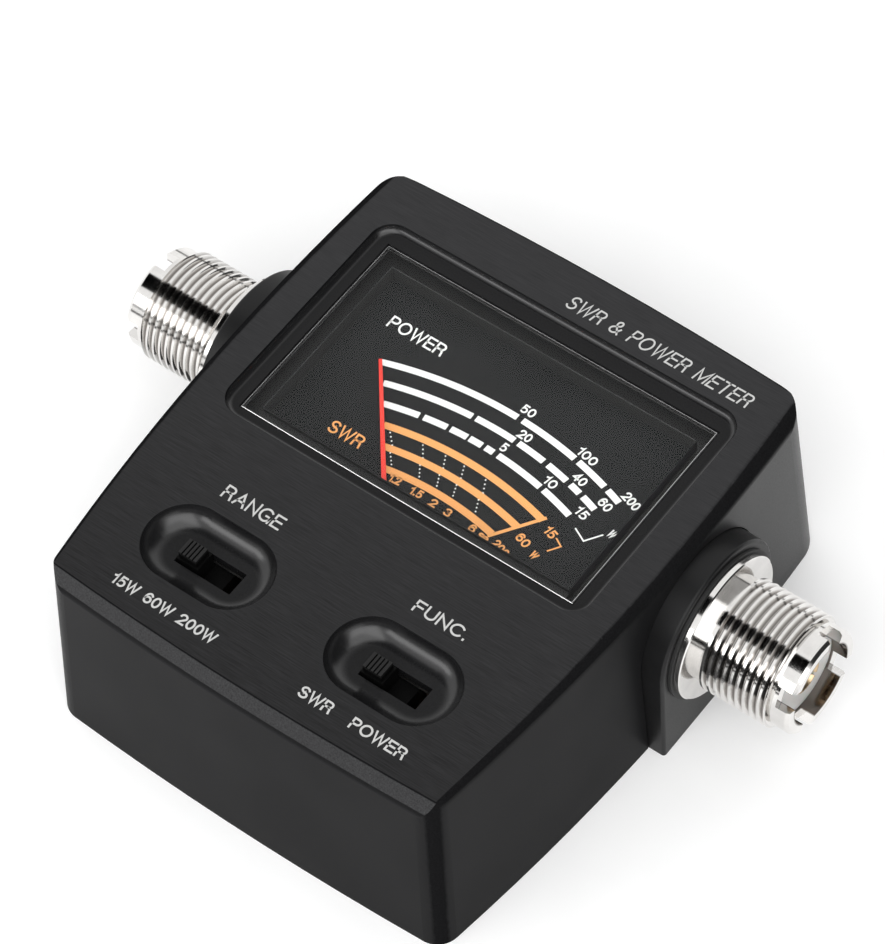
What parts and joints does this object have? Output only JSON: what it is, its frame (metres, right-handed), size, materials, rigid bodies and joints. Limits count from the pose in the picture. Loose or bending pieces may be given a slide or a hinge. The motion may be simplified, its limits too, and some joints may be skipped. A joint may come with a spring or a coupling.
{
  "type": "swr meter",
  "caption": "Compact through-line power and standing-wave meter: sloped-wall black case, windowed pointer dial, slide switches in dished recesses, threaded coaxial sockets at the sides.",
  "frame": {"origin": "centre of the footprint, on the surface the meter lies on", "axes": "+X across the panel to the right-hand socket, +Y up the panel as its lettering reads, +Z out of the panel, away from the surface"},
  "size_m": [0.1052, 0.0796, 0.03],
  "materials": {
    "case_black": "satin black moulding, hairline texture on the panel",
    "chassis_black": "satin black paint on cast aluminium",
    "clear_acrylic": "polished clear acrylic",
    "inner_black": "matt",
    "dial_black": "matt black with printed scales",
    "screw_black": "blackened steel",
    "screw_steel": "zinc plated",
    "magnet_grey": "ground",
    "soft_iron": "turned",
    "brass": "turned",
    "aluminium": "thin sheet",
    "copper_enamel": "enamelled copper wire, wound",
    "spring_bronze": "phosphor bronze",
    "pointer_red": "red paint on thin aluminium",
    "board_laminate": "glass-epoxy laminate",
    "copper_bare": "bare copper",
    "tinned_steel": "tinned sheet",
    "diode_glass": "glass body",
    "resistor_body": "lacquered",
    "capacitor_body": "dipped ceramic",
    "trimmer_blue": "moulded",
    "rotor_white": "moulded",
    "wire_insulation": "vinyl insulation",
    "phenolic": "paper laminate",
    "knob_black": "moulded, ribbed grip",
    "nickel_plate": "bright nickel plate on brass",
    "insulator_white": "fluoropolymer",
    "contact_gold": "gold flash",
    "gasket_rubber": "matt"
  },
  "bodies": {
    "meter_body": {"housing": "case_black", "chassis": "chassis_black", "meter_cover": "clear_acrylic", "meter_case": "inner_black", "dial_plate": "dial_black", "dial_screws": "screw_black", "meter_screws": "screw_steel", "core_magnet": "magnet_grey", "yoke_ring": "soft_iron", "lower_bridge": "brass", "upper_bridge": "brass", "jewel_screws": "brass", "hairsprings": "spring_bronze", "pointer_stops": "screw_black", "meter_studs": "brass", "switch_board": "board_laminate", "switch_board_screws": "screw_steel", "housing_screws": "screw_black", "line_board": "board_laminate", "line_board_screws": "screw_steel", "line_conductor": "copper_bare", "line_trough": "tinned_steel", "coupling_lines": "copper_bare", "detector_diodes": "diode_glass", "load_resistors": "resistor_body", "bypass_capacitors": "capacitor_body", "trimmer_bodies": "trimmer_blue", "hookup_wires": "wire_insulation", "range_switch_frame": "tinned_steel", "range_switch_base": "phenolic", "range_switch_terminals": "screw_steel", "function_switch_frame": "tinned_steel", "function_switch_base": "phenolic", "function_switch_terminals": "screw_steel", "socket_shell_left": "nickel_plate", "socket_insulator_left": "insulator_white", "socket_contact_left": "contact_gold", "socket_gasket_left": "gasket_rubber", "socket_washer_left": "screw_steel", "socket_nut_left": "nickel_plate", "socket_shell_right": "nickel_plate", "socket_insulator_right": "insulator_white", "socket_contact_right": "contact_gold", "socket_gasket_right": "gasket_rubber", "socket_washer_right": "screw_steel", "socket_nut_right": "nickel_plate"},
    "range_slider": {"range_knob": "knob_black", "range_contacts": "spring_bronze"},
    "function_slider": {"function_knob": "knob_black", "function_contacts": "spring_bronze"},
    "pointer_assembly": {"pointer": "pointer_red", "pointer_counterweight": "brass", "pivot_staffs": "screw_steel", "coil_former": "aluminium", "coil_winding": "copper_enamel"},
    "trimmer_left": {"trimmer_rotor_left": "rotor_white"},
    "trimmer_right": {"trimmer_rotor_right": "rotor_white"}
  },
  "joints": [
    {"name": "range_slide", "type": "slide", "parent": "meter_body", "child": "range_slider", "axis": [1, 0, 0], "range_m": [0, 0.005]},
    {"name": "function_slide", "type": "slide", "parent": "meter_body", "child": "function_slider", "axis": [1, 0, 0], "range_m": [0, 0.005]},
    {"name": "pointer_swing", "type": "hinge", "parent": "meter_body", "child": "pointer_assembly", "pos_m": [0.0016, -0.0089, 0.0255], "axis": [0, 0, -1], "range_deg": [0, 78], "stiffness_Nm_per_rad": 0.000005, "springref_deg": -2.86},
    {"name": "trimmer_left_turn", "type": "hinge", "parent": "meter_body", "child": "trimmer_left", "pos_m": [-0.013, 0.02, 0.011], "axis": [0, 0, 1], "range_deg": [-135, 135]},
    {"name": "trimmer_right_turn", "type": "hinge", "parent": "meter_body", "child": "trimmer_right", "pos_m": [0.013, 0.02, 0.011], "axis": [0, 0, 1], "range_deg": [-135, 135]}
  ]
}
